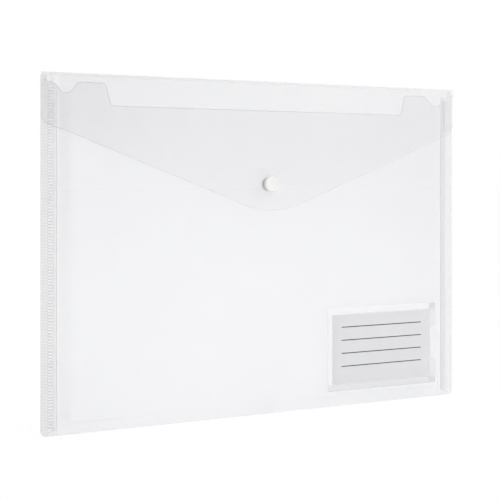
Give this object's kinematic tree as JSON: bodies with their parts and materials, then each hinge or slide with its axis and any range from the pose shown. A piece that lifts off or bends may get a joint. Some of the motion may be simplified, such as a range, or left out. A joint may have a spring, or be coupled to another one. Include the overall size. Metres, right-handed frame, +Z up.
{
  "type": "document wallet",
  "caption": "Flat clear film document wallet with a fold-over V-shaped snap flap, ribbed welded side seams and a label pocket with a sliding card.",
  "frame": {"origin": "middle of the bottom edge, half way through the depth from the back panel to the face of the snap cap", "axes": "+Z up from the bottom fold to the top fold, +X along the fold towards the label pocket, -Y out of the front"},
  "size_m": [0.33, 0.0128, 0.24],
  "materials": {
    "film": "satin",
    "seam": "satin",
    "snap": "satin",
    "pocket_film": "gloss",
    "pocket_weld": "satin",
    "card": "matte"
  },
  "bodies": {
    "pouch": {"back_panel": "film", "front_panel": "film", "pouch_mouth": "film", "left_side_seam": "seam", "right_side_seam": "seam", "fold_hinge": "film", "snap_stud": "snap", "snap_backing": "snap", "label_pocket_film": "pocket_film", "label_pocket_weld": "pocket_weld"},
    "flap": {"flap": "film", "snap_cap": "snap", "snap_socket": "snap"},
    "card": {"label_card": "card"}
  },
  "joints": [
    {"name": "flap_fold", "type": "hinge", "parent": "pouch", "child": "flap", "pos_m": [0, 0.00465, 0.23829], "axis": [-1, 0, 0], "range_deg": [0, 174.5], "deforming": ["fold_hinge"]},
    {"name": "card_slide", "type": "slide", "parent": "pouch", "child": "card", "axis": [1, 0, 0], "range_m": [0, 0.088]}
  ]
}
